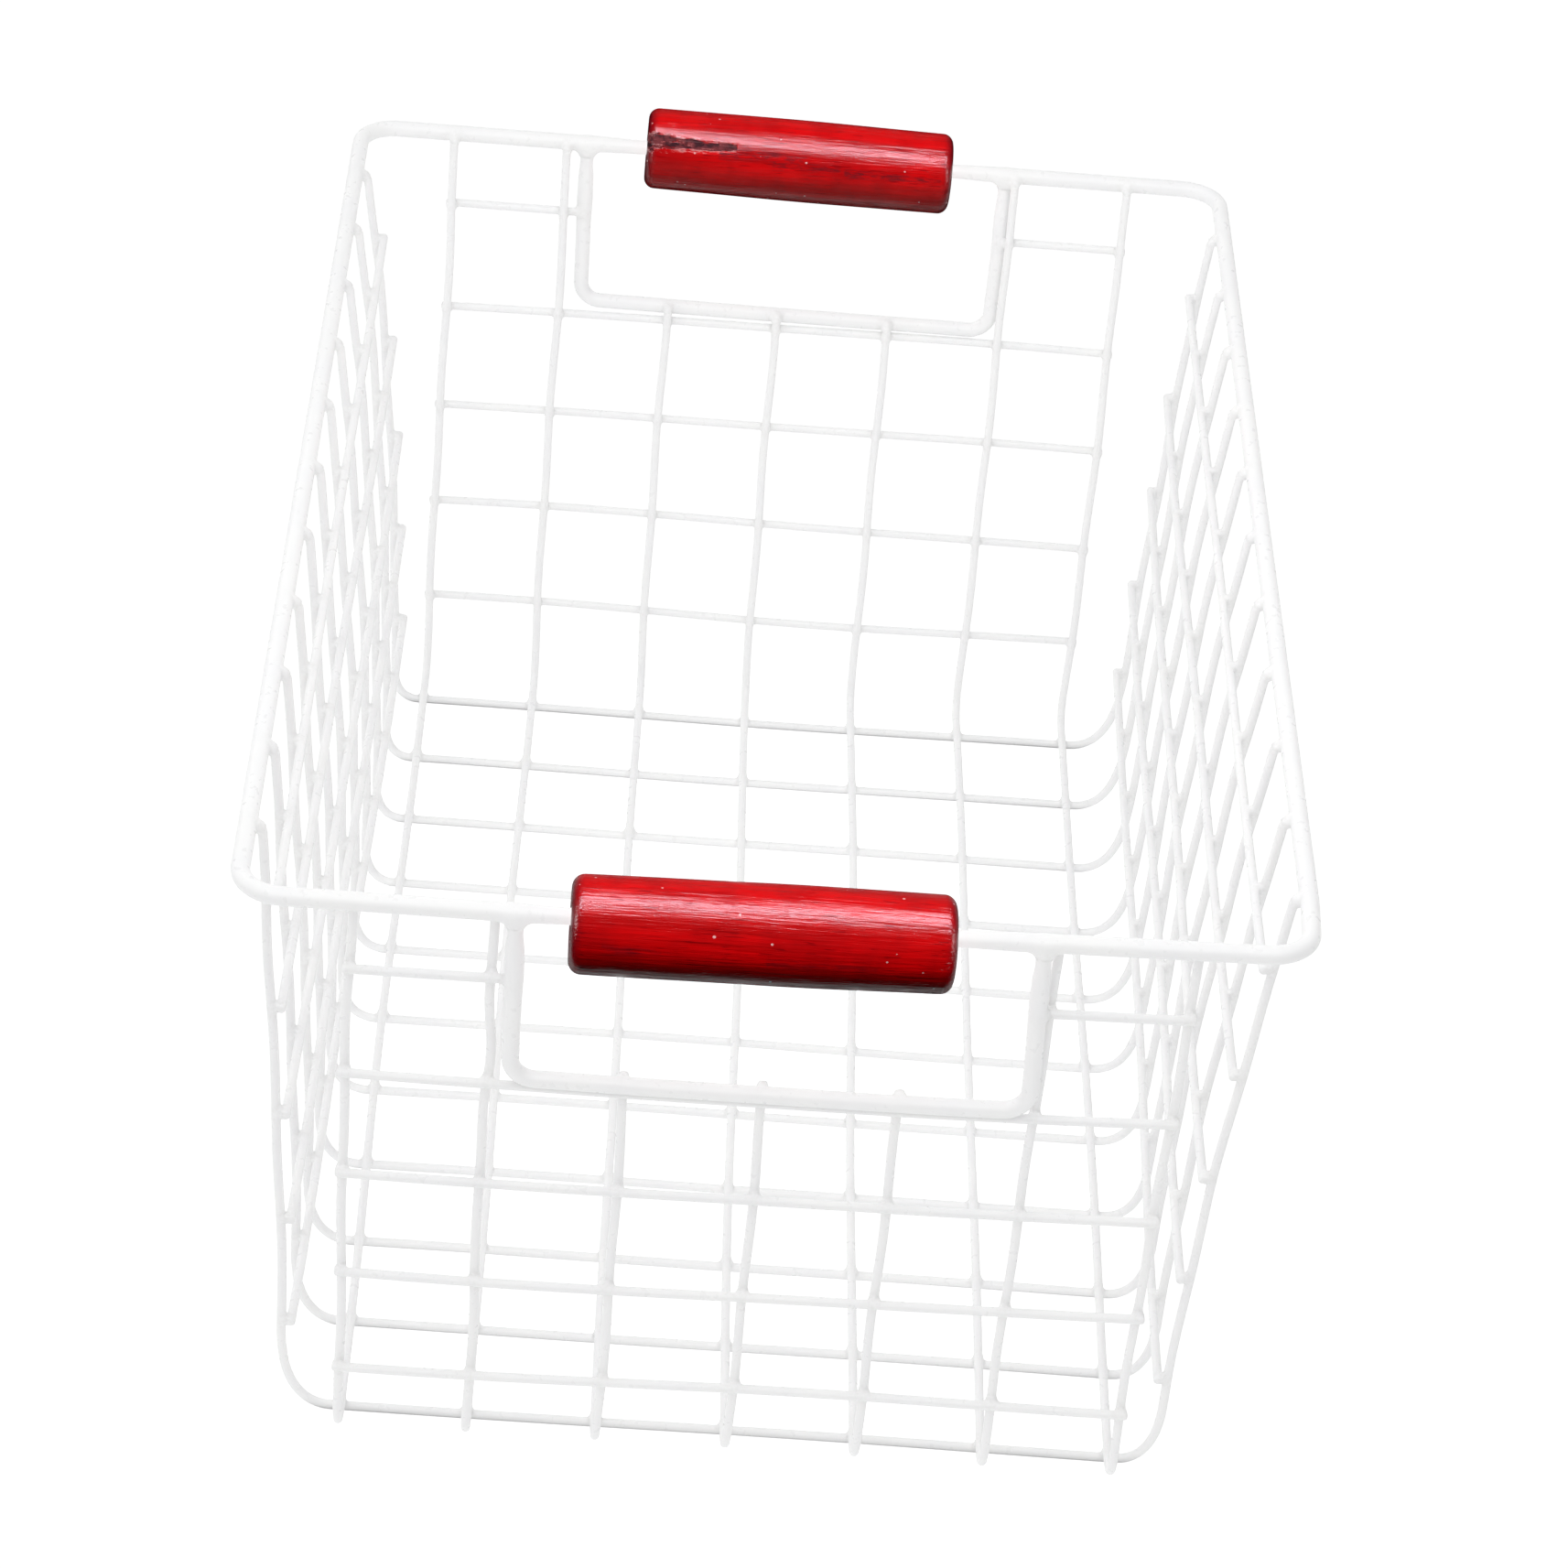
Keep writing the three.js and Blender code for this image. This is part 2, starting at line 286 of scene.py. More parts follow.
def bracket_line(place):
    rise = RIM_HEIGHT - LONG_FLOOR_Z
    run = RIM_HALF_LENGTH - FLOOR_HALF_LENGTH
    top = rise * math.cos(END_LEAN) + run * math.sin(END_LEAN) - LEG_DROP
    rail = up_slope(place["rail_height"])
    tilt = BRACKET_HALF_WIDTH * slope_of(place["rail_tilt"])
    left, right = (place["bracket_x"] + side * BRACKET_HALF_WIDTH for side in (-1, 1))
    corners = [
        (leg_x(place, -1, top), 0, top),
        (left, 0, rail - tilt),
        (right, 0, rail + tilt),
        (leg_x(place, 1, top), 0, top),
    ]
    flat = [
        corners[0],
        *bend(corners[0], corners[1], corners[2], BRACKET_BEND),
        *bend(corners[1], corners[2], corners[3], BRACKET_BEND),
        corners[3],
    ]
    return [end_wall(x, place["end"], up, BRACKET_OFFSET) for x, _, up in dense(flat)]


# ---- the wires ----
wires = []


def add_wire(node, points, radius, flank, closed=False, girth=None):
    """flank is a direction that the wire never runs along; girth thins or thickens it."""
    line = dense(points)
    wires.append({
        "node": node,
        "line": unevenness(line),
        "radius": radius,
        "girth": np.ones(len(line)) if girth is None else girth(line),
        "flank": flank,
        "closed": closed,
        "welds": [],
    })


UNEVEN = 0.16
WAVE_COUNT = 9
WAVE_SPANS = (28, 55)
RIM_KEPT = 8  # there is no drift higher than this far below the rim's centre line
RIM_FADE = 30
FLOOR_FADE = 20


def random_vector():
    return np.array([chance.gauss(0, 1) for _ in range(3)])


WAVES = [
    (random_vector() / chance.uniform(*WAVE_SPANS), random_vector(), chance.uniform(0, 2 * math.pi))
    for _ in range(WAVE_COUNT)
]


def unevenness(points):
    """A slow drift of the wires, the same for wires that touch. It fades towards the rim."""
    drift = sum(np.sin(points @ wave + phase)[:, None] * push for wave, push, phase in WAVES)
    fade = np.clip((RIM_HEIGHT - RIM_KEPT - points[:, 2]) / RIM_FADE, 0, 1)
    drift = UNEVEN * drift * fade[:, None]
    drift[:, 2] *= np.clip((points[:, 2] - LONG_FLOOR_Z) / FLOOR_FADE, 0, 1)
    return points + drift


def bump(distance, reach):
    """1 at no distance, falling smoothly to 0 at reach."""
    share = np.clip(1 - np.abs(distance) / reach, 0, 1)
    return share * share * (3 - 2 * share)


RUB_DEPTH = 0.13  # this depth and the next ones are shares of the girth
RUB_REACH = 17
NECK_DEPTH = 0.13
NECK_BELOW_TOP = 5
NECK_REACH = 6
RUN_THICKNESS = 0.08
RUN_BELOW_TOP = 17
RUN_REACH = 12


def rim_girth(line):
    """The coating is worn thin where the grips rub."""
    girth = np.ones(len(line))
    for place in ENDS.values():
        past_grip = np.abs(line[:, 0] - place["grip_x"]) - GRIP_LENGTH / 2
        at_this_end = place["end"] * line[:, 1] > RIM_HALF_LENGTH - RIM_CORNER
        girth -= RUB_DEPTH * at_this_end * bump(np.maximum(past_grip, 0), RUB_REACH)
    return girth


def bracket_girth(line):
    """Each leg is ground to a neck under the rim; the coating ran down and gathered below it."""
    from_top = line[:, 2].max() - line[:, 2]
    neck = NECK_DEPTH * bump(from_top - NECK_BELOW_TOP, NECK_REACH)
    return 1 - neck + RUN_THICKNESS * bump(from_top - RUN_BELOW_TOP, RUN_REACH)


ROW_END = OUTER_LONG_X + OVERHANG

add_wire("rim", rim_line(), RIM_WIRE, UP, closed=True, girth=rim_girth)
for name, place in ENDS.items():
    line = bracket_line(place)
    add_wire(f"{name}_handle_bracket", line, BRACKET_WIRE, AHEAD, girth=bracket_girth)
for i in range(LONG_COUNT):
    line = long_line(i * LONG_PITCH - OUTER_LONG_X)
    if i == KNOCKED_WIRE:
        line = knocked_sideways(line, KNOCK_SIDEWAYS, KNOCK_HEIGHT, KNOCK_SPREAD)
    add_wire(f"long_wire_{i + 1}", line, MESH_WIRE, ACROSS)
for i in range(CROSS_COUNT):
    y = i * CROSS_PITCH - OUTER_CROSS_Y
    left_leg, right_leg = (cross_leg(SIDE_WALLS[name], y) for name in ("left", "right"))
    add_wire(f"cross_wire_{i + 1}", left_leg + right_leg[::-1], MESH_WIRE, AHEAD)
for name, side in SIDE_WALLS.items():
    for i, z in enumerate(ROW_HEIGHTS):
        add_wire(f"{name}_row_{i + 1}", side_row_line(side, z), MESH_WIRE, UP)
for name, place in ENDS.items():
    for i, z in enumerate(ROW_HEIGHTS):
        up = up_slope(z)
        spans = {"": (-ROW_END, ROW_END)}
        if i == 0:
            left_stop = leg_x(place, -1, up) - STUB_REACH
            right_stop = leg_x(place, 1, up) + STUB_REACH
            spans = {"_left": (-ROW_END, left_stop), "_right": (right_stop, ROW_END)}
        for part, (from_x, to_x) in spans.items():
            line = wall_run((from_x, up), (to_x, up), place["end"], WELD_STEP)
            add_wire(f"{name}_row_{i + 1}{part}", line, MESH_WIRE, UP)

# ---- welds: where two wires touch ----
TOUCH_GAP = 0.45  # wires closer than this are welded; the mesh wires' own spacing is 0.1
WELD_REACH = 9
STRETCH = 1.6  # a weld looks at the other wire this many times its reach each way
STRETCH_STEP = 4
SAMPLE_STEP = 2  # welds are looked for at every second point of a line
CROSSING_SPAN = 4
CROSSING_LIMIT = 0.9  # cosine of the smallest angle of a crossing
HEAVY_FILLET = 3.4
FILLETS = (1.3, 2.4)
HEAVY_NUGGET = 1.9
NUGGETS = (1.15, 1.6)
ON_HEAVY_NUGGET = 0.3  # a nugget is this much larger where a mesh wire meets a heavy one


def crossing(line, i, other_line, j):
    """Whether two wires meet at an angle there, and don't just run side by side."""

    def heading(points, index):
        onward = points[min(index + CROSSING_SPAN, len(points) - 1)]
        return unit(onward - points[max(index - CROSSING_SPAN, 0)])

    return abs(heading(line, i) @ heading(other_line, j)) < CROSSING_LIMIT


def find_welds():
    """Gives each wire its welds, with the stretch of the other wire that it joins."""
    samples = []
    for w, wire in enumerate(wires):
        samples += [(w, i) for i in range(0, len(wire["line"]), SAMPLE_STEP)]
    for w, wire in enumerate(wires):
        samples.append((w, len(wire["line"]) - 1))
    tree = KDTree(len(samples))
    for index, (w, i) in enumerate(samples):
        tree.insert(wires[w]["line"][i], index)
    tree.balance()
    touches = []
    for w, i in samples:
        wire = wires[w]
        for _, index, distance in tree.find_range(wire["line"][i], 2 * RIM_WIRE + TOUCH_GAP):
            other, j = samples[index]
            touching = distance < wire["radius"] + wires[other]["radius"] + TOUCH_GAP
            if other > w and touching and crossing(wire["line"], i, wires[other]["line"], j):
                touches.append((distance, w, i, other, j))
    kept = []
    for _, w, i, other, j in sorted(touches):
        a, b = wires[w]["line"][i], wires[other]["line"][j]
        here = (a + b) / 2
        if all(
            (w, other) != pair or np.linalg.norm(here - at) > 2 * WELD_REACH
            for pair, at in kept
        ):
            kept.append(((w, other), here))
            add_weld(wires[w], wires[other], i, j)


def nearby(line, index):
    """The stretch of a centre line around one of its points, in steps of about 2 mm."""
    span = round(STRETCH * WELD_REACH / FINE)
    stretch = line[max(0, index - span) : index + span + 1]
    return np.concatenate([stretch[:-1:STRETCH_STEP], stretch[-1:]])


def add_weld(a, b, i, j):
    heavy = min(a["radius"], b["radius"]) > MESH_WIRE
    on_heavy = max(a["radius"], b["radius"]) > MESH_WIRE
    start, stop = a["line"][i], b["line"][j]
    apart = max(np.linalg.norm(stop - start), 1e-6)
    at = start + (stop - start) * min(a["radius"] / apart, 1)
    weld = {
        "at": at,
        "fillet": HEAVY_FILLET if heavy else chance.uniform(*FILLETS),
        "nugget": HEAVY_NUGGET if heavy else chance.uniform(*NUGGETS) + ON_HEAVY_NUGGET * on_heavy,
    }
    a["welds"].append({**weld, "line": nearby(b["line"], j), "radius": b["radius"]})
    b["welds"].append({**weld, "line": nearby(a["line"], i), "radius": a["radius"]})


find_welds()


# ---- coated surface of a wire ----
COARSE = 8.0  # ring spacing on a straight run
CLOSE = 0.42  # ring spacing at a weld or an end
CLOSE_REACH = 5.2
MERGED = 0.6  # rings nearer to each other than this share of CLOSE are made one
TURN_SPAN = 4
TURN_LIMIT = 0.004  # 1 minus the cosine of a turn that counts as a bend
MESH_SIDES = 16
HEAVY_SIDES = 24
CAP_RINGS = 6
CAP_SQUARENESS = 2.6
CAP_DEPTH = 0.8  # how far a cut end bulges, as a share of the wire's radius


def ring_places(wire):
    """Distances along the wire where its rings go: close at welds, ends and bends."""
    line = wire["line"]
    steps = np.linalg.norm(np.diff(line, axis=0), axis=1)
    reach = np.concatenate([[0], np.cumsum(steps)])
    start, stop = 0, reach[-1]
    if not wire["closed"]:
        start, stop = CAP_DEPTH * wire["radius"], stop - CAP_DEPTH * wire["radius"]
    places = list(np.arange(start, stop, COARSE)) + [stop]
    focus = [reach[np.argmin(np.linalg.norm(line - weld["at"], axis=1))] for weld in wire["welds"]]
    if not wire["closed"]:
        focus += [start, stop]
    for middle in focus:
        places += list(np.arange(middle - CLOSE_REACH, middle + CLOSE_REACH, CLOSE))
    places += list(reach[np.append(turning(line), False)])
    places = np.array(sorted(p for p in places if start <= p <= stop))
    kept = [places[0]]
    for place in places[1:]:
        if place - kept[-1] > MERGED * CLOSE:
            kept.append(place)
    kept[-1] = stop
    return reach, np.array(kept)


def turning(line):
    """True at every second point of a bend."""
    steps = np.diff(line, axis=0)
    steps /= np.linalg.norm(steps, axis=1)[:, None]
    turn = np.zeros(len(steps))
    turned = (steps[2 * TURN_SPAN :] * steps[: -2 * TURN_SPAN]).sum(1)
    turn[TURN_SPAN:-TURN_SPAN] = 1 - turned
    return (turn > TURN_LIMIT) & (np.arange(len(steps)) % 2 == 0)


def ring_frames(wire):
    """For each ring: its centre, the wire's heading, two directions across it and its radius."""
    line, closed = wire["line"], wire["closed"]
    reach, places = ring_places(wire)
    if closed:
        places = places[:-1]
    radii = wire["radius"] * np.interp(places, reach, wire["girth"])
    centres = np.column_stack([np.interp(places, reach, line[:, k]) for k in range(3)])
    if closed:
        headings = np.roll(centres, -1, axis=0) - np.roll(centres, 1, axis=0)
    else:
        headings = np.gradient(centres, axis=0)
    headings /= np.linalg.norm(headings, axis=1)[:, None]
    flanks = wire["flank"] - headings * (headings @ wire["flank"])[:, None]
    flanks /= np.linalg.norm(flanks, axis=1)[:, None]
    others = np.cross(headings, flanks)
    return list(zip(centres, headings, flanks, others, radii))


def rays(wire):
    """For each surface point: a centre on the wire's own line, a direction and a length."""
    closed = wire["closed"]
    sides = HEAVY_SIDES if wire["radius"] > MESH_WIRE else MESH_SIDES
    angles = 2 * np.pi * np.arange(sides) / sides
    frames = ring_frames(wire)
    rings = [(*ring, 0.0) for ring in frames]
    if not closed:
        tilts = np.linspace(0, np.pi / 2, CAP_RINGS + 1)[1:-1]
        first, last = frames[0], frames[-1]
        rings = [(*first, -tilt) for tilt in tilts[::-1]] + rings + [(*last, tilt) for tilt in tilts]
    centre, direction, length = [], [], []
    for middle, heading, flank, other, radius, tilt in rings:
        around = np.cos(angles)[:, None] * flank + np.sin(angles)[:, None] * other
        direction.append(np.cos(tilt) * around + np.sin(tilt) * heading)
        centre.append(np.repeat(middle[None], sides, axis=0))
        power = CAP_SQUARENESS
        bulge = (abs(np.cos(tilt)) ** power + abs(np.sin(tilt) / CAP_DEPTH) ** power) ** (-1 / power)
        length.append(np.full(sides, radius * bulge))
    if not closed:
        for ring, sign in ((rings[0], -1), (rings[-1], 1)):
            centre.append(ring[0][None])
            direction.append(sign * ring[1][None])
            length.append(np.array([ring[4] * CAP_DEPTH]))
    faces = tube_faces(len(rings), sides, closed)
    return np.concatenate(centre), np.concatenate(direction), np.concatenate(length), faces


def tube_faces(ring_count, sides, closed):
    faces = []
    for i in range(ring_count if closed else ring_count - 1):
        here, onward = i * sides, (i + 1) % ring_count * sides
        for j in range(sides):
            k = (j + 1) % sides
            faces.append((here + j, here + k, onward + k, onward + j))
    if not closed:
        last = (ring_count - 1) * sides
        first_pole, last_pole = ring_count * sides, ring_count * sides + 1
        for j in range(sides):
            k = (j + 1) % sides
            faces.append((first_pole, k, j))
            faces.append((last_pole, last + j, last + k))
    return faces


def smooth_min(a, b, blend):
    """The lower of two distances, rounded off where they are within blend of each other."""
    share = np.maximum(blend - np.abs(a - b), 0) / blend
    return np.minimum(a, b) - share * share * blend / 4


def distance_to(points, line):
    step = np.diff(line, axis=0)
    away = points[:, None] - line[:-1]
    share = np.clip((away * step).sum(-1) / (step * step).sum(-1), 0, 1)
    return np.linalg.norm(away - share[..., None] * step, axis=-1).min(axis=1)


LIFT = 1.3  # how far welds can push the surface out before it is inside the other wire
HEAVY_LIFT = 2.4
NUGGET_BLEND = 1.2
SETTLE_ROUNDS = 9
LEAST_LENGTH = 0.3  # a point comes no nearer to its centre than this share of the radius
FLOOR_CLEARANCE = 0.01
# the painted shade greys the coating within about this reach of each weld
WELD_SHADE_REACH = 3.2
COAT_VARIATION = 0.003  # share of the radius
RIPPLE_COUNT = 10
RIPPLE_RATES = (0.25, 0.7)


def coat(wire):
    """Surface points of a wire, brought onto its smooth union with the wires it is welded to, and
    the share of painted shade round its welds.
    """
    centre, direction, base, faces = rays(wire)
    base = base * (1 + coat_thickness(centre + direction * base[:, None]))
    length = base.copy()
    lift = HEAVY_LIFT if wire["radius"] > MESH_WIRE else LIFT
    near = []
    for weld in wire["welds"]:
        close = np.linalg.norm(centre - weld["at"], axis=1) < WELD_REACH
        near.append((weld, np.nonzero(close)[0]))
    for _ in range(SETTLE_ROUNDS):
        points = centre + direction * length[:, None]
        depth = length - base
        for weld, index in near:
            other = distance_to(points[index], weld["line"]) - weld["radius"]
            nugget = np.linalg.norm(points[index] - weld["at"], axis=1) - weld["nugget"]
            joined = smooth_min(depth[index], other, weld["fillet"])
            depth[index] = smooth_min(joined, nugget, NUGGET_BLEND)
        length = np.clip(length - depth, LEAST_LENGTH * base, base + lift)
    points = centre + direction * length[:, None]
    points[:, 2] = np.maximum(points[:, 2], FLOOR_CLEARANCE)
    # painted shade: how near each point is to a weld, for greying the coating there
    shade_nearness = np.zeros(len(points))
    for weld in wire["welds"]:
        away = np.linalg.norm(points - weld["at"], axis=1)
        shade_nearness = np.maximum(shade_nearness, np.exp(-((away / WELD_SHADE_REACH) ** 2)))
    return points, faces, shade_nearness


RIPPLES = [
    (random_vector() * chance.uniform(*RIPPLE_RATES), chance.uniform(0, 2 * math.pi))
    for _ in range(RIPPLE_COUNT)
]


def coat_thickness(points):
    """Share by which the dipped coating is thicker or thinner from place to place."""
    ripples = sum(np.sin(points @ wave + phase) for wave, phase in RIPPLES)
    return COAT_VARIATION * ripples / math.sqrt(RIPPLE_COUNT / 2)


# ---- writing meshes ----
def make_piece(name, points, faces, material, measures, origin=(0, 0, 0)):
    mesh = bpy.data.meshes.new(name)
    mesh.from_pydata((np.array(points) * MM).tolist(), [], faces)
    for measure, values in measures.items():
        attribute = mesh.attributes.new(measure, "FLOAT", "POINT")
        attribute.data.foreach_set("value", np.array(values, np.float32))
    mesh.materials.append(material)
    mesh.shade_smooth()
    mesh.update()
    piece = bpy.data.objects.new(name, mesh)
    piece.location = [c * MM for c in origin]
    bpy.context.scene.collection.objects.link(piece)
    return piece


# ---- materials ----
class Nodes:
    """A material's node tree, with short calls for the nodes used here."""

    def __init__(self, name):
        self.material = bpy.data.materials.new(name)
        self.material.use_nodes = True
        self.tree = self.material.node_tree
        self.tree.nodes.clear()
        self.shader = self.tree.nodes.new("ShaderNodeBsdfPrincipled")
        output = self.tree.nodes.new("ShaderNodeOutputMaterial")
        self.tree.links.new(self.shader.outputs[0], output.inputs["Surface"])

    def put(self, socket, value):
        if isinstance(value, bpy.types.NodeSocket):
            self.tree.links.new(value, socket)
        else:
            socket.default_value = value

    def place(self):
        return self.tree.nodes.new("ShaderNodeTexCoord").outputs["Object"]

    def measure(self, name):
        node = self.tree.nodes.new("ShaderNodeAttribute")
        node.attribute_name = name
        return node.outputs["Fac"]

    def stretched(self, vector, scale):
        node = self.tree.nodes.new("ShaderNodeMapping")
        self.put(node.inputs["Vector"], vector)
        node.inputs["Scale"].default_value = scale
        return node.outputs["Vector"]

    def noise(self, vector, scale, detail, roughness=0.5, distortion=0.0):
        node = self.tree.nodes.new("ShaderNodeTexNoise")
        self.put(node.inputs["Vector"], vector)
        node.inputs["Scale"].default_value = scale
        node.inputs["Detail"].default_value = detail
        node.inputs["Roughness"].default_value = roughness
        node.inputs["Distortion"].default_value = distortion
        return node.outputs["Fac"]

    def cells(self, vector, scale):
        """Distance from the nearest cell's centre, and a random grey for each cell."""
        node = self.tree.nodes.new("ShaderNodeTexVoronoi")
        self.put(node.inputs["Vector"], vector)
        node.inputs["Scale"].default_value = scale
        return node.outputs["Distance"], node.outputs["Color"]

    def math(self, operation, a, b):
        node = self.tree.nodes.new("ShaderNodeMath")
        node.operation = operation
        for socket, value in zip(node.inputs, (a, b)):
            self.put(socket, value)
        return node.outputs[0]

    def times(self, a, b):
        return self.math("MULTIPLY", a, b)

    def ramp(self, value, low, high, from_value=0.0, to_value=1.0):
        """value's range low..high taken smoothly to from_value..to_value."""
        node = self.tree.nodes.new("ShaderNodeMapRange")
        node.interpolation_type = "SMOOTHSTEP"
        names = ("Value", "From Min", "From Max", "To Min", "To Max")
        for name, setting in zip(names, (value, low, high, from_value, to_value)):
            self.put(node.inputs[name], setting)
        return node.outputs["Result"]

    def mix(self, share, a, b):
        node = self.tree.nodes.new("ShaderNodeMix")
        node.data_type = "RGBA"
        self.put(node.inputs["Factor"], share)
        self.put(node.inputs[6], a)
        self.put(node.inputs[7], b)
        return node.outputs[2]

    def bump(self, height, distance, strength=1.0, under=None):
        node = self.tree.nodes.new("ShaderNodeBump")
        node.inputs["Strength"].default_value = strength
        node.inputs["Distance"].default_value = distance
        self.put(node.inputs["Height"], height)
        if under is not None:
            self.put(node.inputs["Normal"], under)
        return node.outputs["Normal"]

    def finish(self, **sockets):
        for name, value in sockets.items():
            self.put(self.shader.inputs[name.replace("_", " ")], value)
        return self.material


# Colours are linear, with alpha.
COOL_WHITE = (0.875, 0.875, 0.88, 1)
WARM_WHITE = (0.89, 0.89, 0.885, 1)
# the grey of the painted shade round the welds
WELD_SHADE_GREY = (0.55, 0.53, 0.5, 1)
DARK_BAND = (0.46, 0.0005, 0.001, 1)
BRIGHT_BAND = (0.72, 0.0005, 0.002, 1)
BLOTCH_RED = (0.36, 0.0005, 0.002, 1)
FIBRE_RED = (0.28, 0.0005, 0.001, 1)
PORE_RED = (0.1, 0.0, 0.002, 1)
END_GRAIN_RED = (0.075, 0.002, 0.008, 1)
SPECK_PINK = (0.85, 0.5, 0.5, 1)
LIFTED_PINK = (0.75, 0.36, 0.36, 1)
SCUFF_BROWN = (0.1, 0.006, 0.012, 1)
WOOD_DARK = (0.04, 0.008, 0.012, 1)
WOOD_BROWN = (0.16, 0.03, 0.035, 1)
WOOD_PALE = (0.3, 0.16, 0.16, 1)


def white_coating():
    """Glossy white dip coating: a little uneven, with painted shade greying the corners round the
    welds.
    """
    nodes = Nodes("white_coating")
    place = nodes.place()
    # Painted shade: the coating is greyed in the corners round the welds, broken up by noise.
    shade_breakup = nodes.noise(place, scale=900, detail=4, roughness=0.65)
    weld_shade = nodes.times(nodes.measure("weld"), nodes.ramp(shade_breakup, 0.35, 0.75))
    drift = nodes.noise(place, scale=55, detail=2)
    shade = nodes.mix(nodes.ramp(drift, 0.3, 0.7), COOL_WHITE, WARM_WHITE)
    waves = nodes.noise(place, scale=260, detail=2, roughness=0.4)
    orange_peel = nodes.noise(place, scale=1400, detail=2)
    relief = nodes.bump(waves, distance=0.00003, strength=0.2)
    relief = nodes.bump(orange_peel, distance=0.00001, strength=0.25, under=relief)
    rough = nodes.ramp(nodes.noise(place, scale=420, detail=3), 0.25, 0.8, 0.26, 0.4)
    return nodes.finish(
        Base_Color=nodes.mix(nodes.times(weld_shade, 0.28), shade, WELD_SHADE_GREY),
        Roughness=nodes.math("ADD", rough, nodes.times(weld_shade, 0.2)),
        Normal=relief,
        IOR=1.5,
        Coat_Weight=0.2,
        Coat_Roughness=0.16,
    )


def grained_red(nodes, place, grain_place, fibres, pores):
    """Red with darker bands, blotches, fibres and pores, darkest on the end grain."""
    bands = nodes.noise(grain_place, scale=260, detail=3, roughness=0.55, distortion=0.4)
    blotches = nodes.noise(place, scale=90, detail=3)
    red = nodes.mix(nodes.ramp(bands, 0.3, 0.72), DARK_BAND, BRIGHT_BAND)
    red = nodes.mix(nodes.ramp(blotches, 0.38, 0.7, 0, 0.55), red, BLOTCH_RED)
    red = nodes.mix(nodes.ramp(fibres, 0.45, 0.8, 0, 0.3), red, FIBRE_RED)
    red = nodes.mix(nodes.times(pores, 0.55), red, PORE_RED)
    return nodes.mix(nodes.times(nodes.measure("end_grain"), 0.75), red, END_GRAIN_RED)


def pale_specks(nodes, place):
    """1 on small scattered nicks in the lacquer, 0 elsewhere."""
    size = nodes.times(nodes.noise(place, scale=130, detail=1), 0.18)
    distance, grey = nodes.cells(nodes.stretched(place, (1, 1.2, 1.2)), scale=230)
    specks = nodes.math("LESS_THAN", distance, size)
    return nodes.times(specks, nodes.math("GREATER_THAN", grey, 0.5))


def worn_off(nodes, streaks, dents):
    """Shares of bare wood, and of lacquer that has lifted round it."""
    worn = nodes.measure("worn")
    wear = nodes.math("ADD", nodes.times(worn, 0.8), nodes.times(streaks, 1.5))
    wear = nodes.times(wear, nodes.ramp(worn, 0.02, 0.12))
    bare = nodes.ramp(wear, 1.36, 1.5)
    lifted = nodes.times(nodes.ramp(wear, 1.22, 1.32), nodes.math("SUBTRACT", 1.0, bare))
    return bare, nodes.times(lifted, nodes.ramp(dents, 0.42, 0.55))


def grain_relief(nodes, grain_place, fibres, chipped):
    waves = nodes.noise(grain_place, scale=650, detail=3, roughness=0.6)
    relief = nodes.bump(waves, distance=0.0003, strength=0.55)
    relief = nodes.bump(fibres, distance=0.00015, strength=1.0, under=relief)
    whole = nodes.math("SUBTRACT", 1.0, chipped)
    return nodes.bump(whole, distance=0.00012, strength=0.8, under=relief)


def red_lacquer():
    """Red lacquer over turned wood: grain, pores, darker end grain, nicks, scuffs and wear."""
    nodes = Nodes("red_lacquer")
    place = nodes.place()
    grain_place = nodes.stretched(place, (0.035, 1, 1))
    pore_place = nodes.stretched(place, (0.07, 1, 1))
    streak_place = nodes.stretched(place, (0.14, 1, 1))
    sheen_place = nodes.stretched(place, (0.2, 1, 1))
    fibres = nodes.noise(grain_place, scale=1500, detail=3, roughness=0.6)
    pores = nodes.ramp(nodes.noise(pore_place, scale=1900, detail=2), 0.6, 0.7)
    streaks = nodes.noise(streak_place, scale=1100, detail=5, roughness=0.75)
    dents = nodes.noise(place, scale=350, detail=2)
    specks = pale_specks(nodes, place)
    bare, lifted = worn_off(nodes, streaks, dents)
    scuffed = nodes.times(nodes.measure("scuffed"), nodes.ramp(streaks, 0.42, 0.58))

    red = grained_red(nodes, place, grain_place, fibres, pores)
    red = nodes.mix(nodes.times(specks, 0.85), red, SPECK_PINK)
    red = nodes.mix(nodes.times(lifted, 0.5), red, LIFTED_PINK)
    red = nodes.mix(nodes.times(scuffed, 0.8), red, SCUFF_BROWN)
    wood = nodes.mix(nodes.ramp(dents, 0.4, 0.6), WOOD_DARK, WOOD_BROWN)
    wood = nodes.mix(nodes.ramp(fibres, 0.5, 0.8), wood, WOOD_PALE)

    relief = grain_relief(nodes, grain_place, fibres, nodes.math("MAXIMUM", bare, specks))
    rough = nodes.noise(sheen_place, scale=600, detail=4, roughness=0.6)
    rough = nodes.ramp(rough, 0.3, 0.75, 0.28, 0.42)
    uncoated = nodes.math("MAXIMUM", bare, nodes.times(pores, 0.7))
    return nodes.finish(
        Base_Color=nodes.mix(bare, red, wood),
        Roughness=nodes.math("ADD", rough, nodes.times(bare, 0.45)),
        Normal=relief,
        IOR=1.5,
        Specular_IOR_Level=0.12,
        Coat_Weight=nodes.math("SUBTRACT", 1.0, uncoated),
        Coat_Roughness=nodes.ramp(streaks, 0.35, 0.65, 0.1, 0.24),
        Coat_Normal=relief,
    )


# ---- build the wires ----
coating = white_coating()
coated = []
for wire in wires:
    points, faces, shade_nearness = coat(wire)
    # its weld measure carries the painted shade round the welds
    piece = make_piece(f"{wire['node']}_coated", points, faces, coating, {"weld": shade_nearness})
    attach(piece, "tray")
    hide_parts(wire["node"])
    coated.append(piece)


